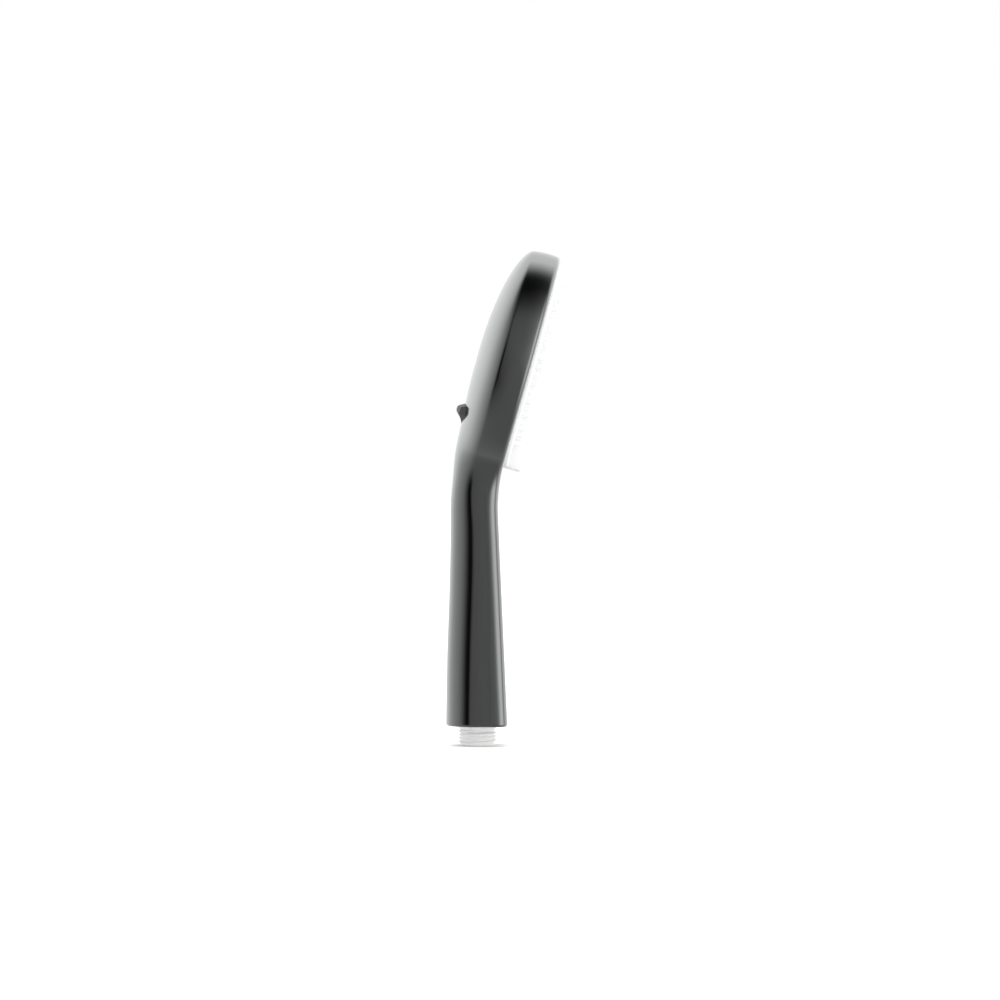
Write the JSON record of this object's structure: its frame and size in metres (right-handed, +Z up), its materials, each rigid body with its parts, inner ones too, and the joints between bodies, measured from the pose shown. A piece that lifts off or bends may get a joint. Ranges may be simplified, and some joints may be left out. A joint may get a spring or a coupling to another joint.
{
  "type": "handheld shower head",
  "caption": "Handheld shower head: round tilted spray face with silicone nozzles, flat-sided brushed graphite handle, thumb tab on the back, G1/2 hose thread.",
  "frame": {"origin": "centre of the inlet's end face, where the hose's washer seats, on the axis of the hose thread", "axes": "+Z runs up the handle along the thread's axis, the spray face looks toward -Y and a little down, and X is across the head, which is the same on both sides"},
  "size_m": [0.1214, 0.0643, 0.2669],
  "materials": {
    "graphite_shell": "brushed, dark graphite metallic plating over ABS",
    "white_plate": "white, satin",
    "white_silicone": "white silicone, matte",
    "white_acetal": "white acetal, moulded",
    "white_nipple": "white glass-filled plastic, moulded thread",
    "natural_acetal": "natural acetal, moulded",
    "dark_tab": "dark grey, fine matte texture",
    "black_rubber": "EPDM, matte",
    "steel": "stainless, bright drawn"
  },
  "bodies": {
    "housing": {"body_shell": "graphite_shell", "spray_plate": "white_plate", "nozzle_mat": "white_silicone", "distributor": "white_acetal", "port_seals": "black_rubber", "rotor_axle": "steel", "plunger_seal": "black_rubber", "seal_retainer": "natural_acetal", "diverter_housing": "white_acetal", "housing_gasket": "black_rubber", "housing_screws": "steel", "face_screws": "steel", "tab_hinge_pin": "steel", "tab_spring": "steel", "water_guide": "white_acetal", "guide_upper_seal": "black_rubber", "guide_lower_seal": "black_rubber", "inlet_nipple": "white_nipple", "nipple_washer": "black_rubber", "filter_screen": "steel", "flow_limiter": "natural_acetal", "limiter_seal": "black_rubber", "check_valve_body": "natural_acetal", "check_valve_guide": "natural_acetal", "check_valve_seal": "black_rubber"},
    "tab": {"selector_tab": "dark_tab"},
    "plunger": {"plunger": "natural_acetal"},
    "rotor": {"selector_rotor": "natural_acetal", "plunger_spring": "steel"},
    "poppet": {"check_poppet": "natural_acetal", "poppet_seal": "black_rubber", "check_spring": "steel"}
  },
  "joints": [
    {"name": "tab_press", "type": "hinge", "parent": "housing", "child": "tab", "pos_m": [0, 0.00487, 0.17033], "axis": [1, 0, 0], "range_deg": [0, 12], "stiffness_Nm_per_rad": 0.12, "springref_deg": -17.19},
    {"name": "plunger_slide", "type": "slide", "parent": "housing", "child": "plunger", "axis": [0, -0.9632, -0.2689], "range_m": [0, 0.00245]},
    {"name": "rotor_index", "type": "hinge", "parent": "housing", "child": "rotor", "pos_m": [0, -0.012, 0.17756], "axis": [0, -0.9632, -0.2689], "range_deg": [0, 30]},
    {"name": "check_lift", "type": "slide", "parent": "housing", "child": "poppet", "axis": [0, 0, 1], "range_m": [0, 0.0025], "stiffness_N_per_m": 60, "springref_m": -0.004, "deforming": ["check_spring"]}
  ],
  "couplings": [
    {"joint": "plunger_slide", "follows": "tab_press", "m_per_rad": 0.011697},
    {"joint": "rotor_index", "follows": "tab_press", "ratio": 2.5}
  ]
}
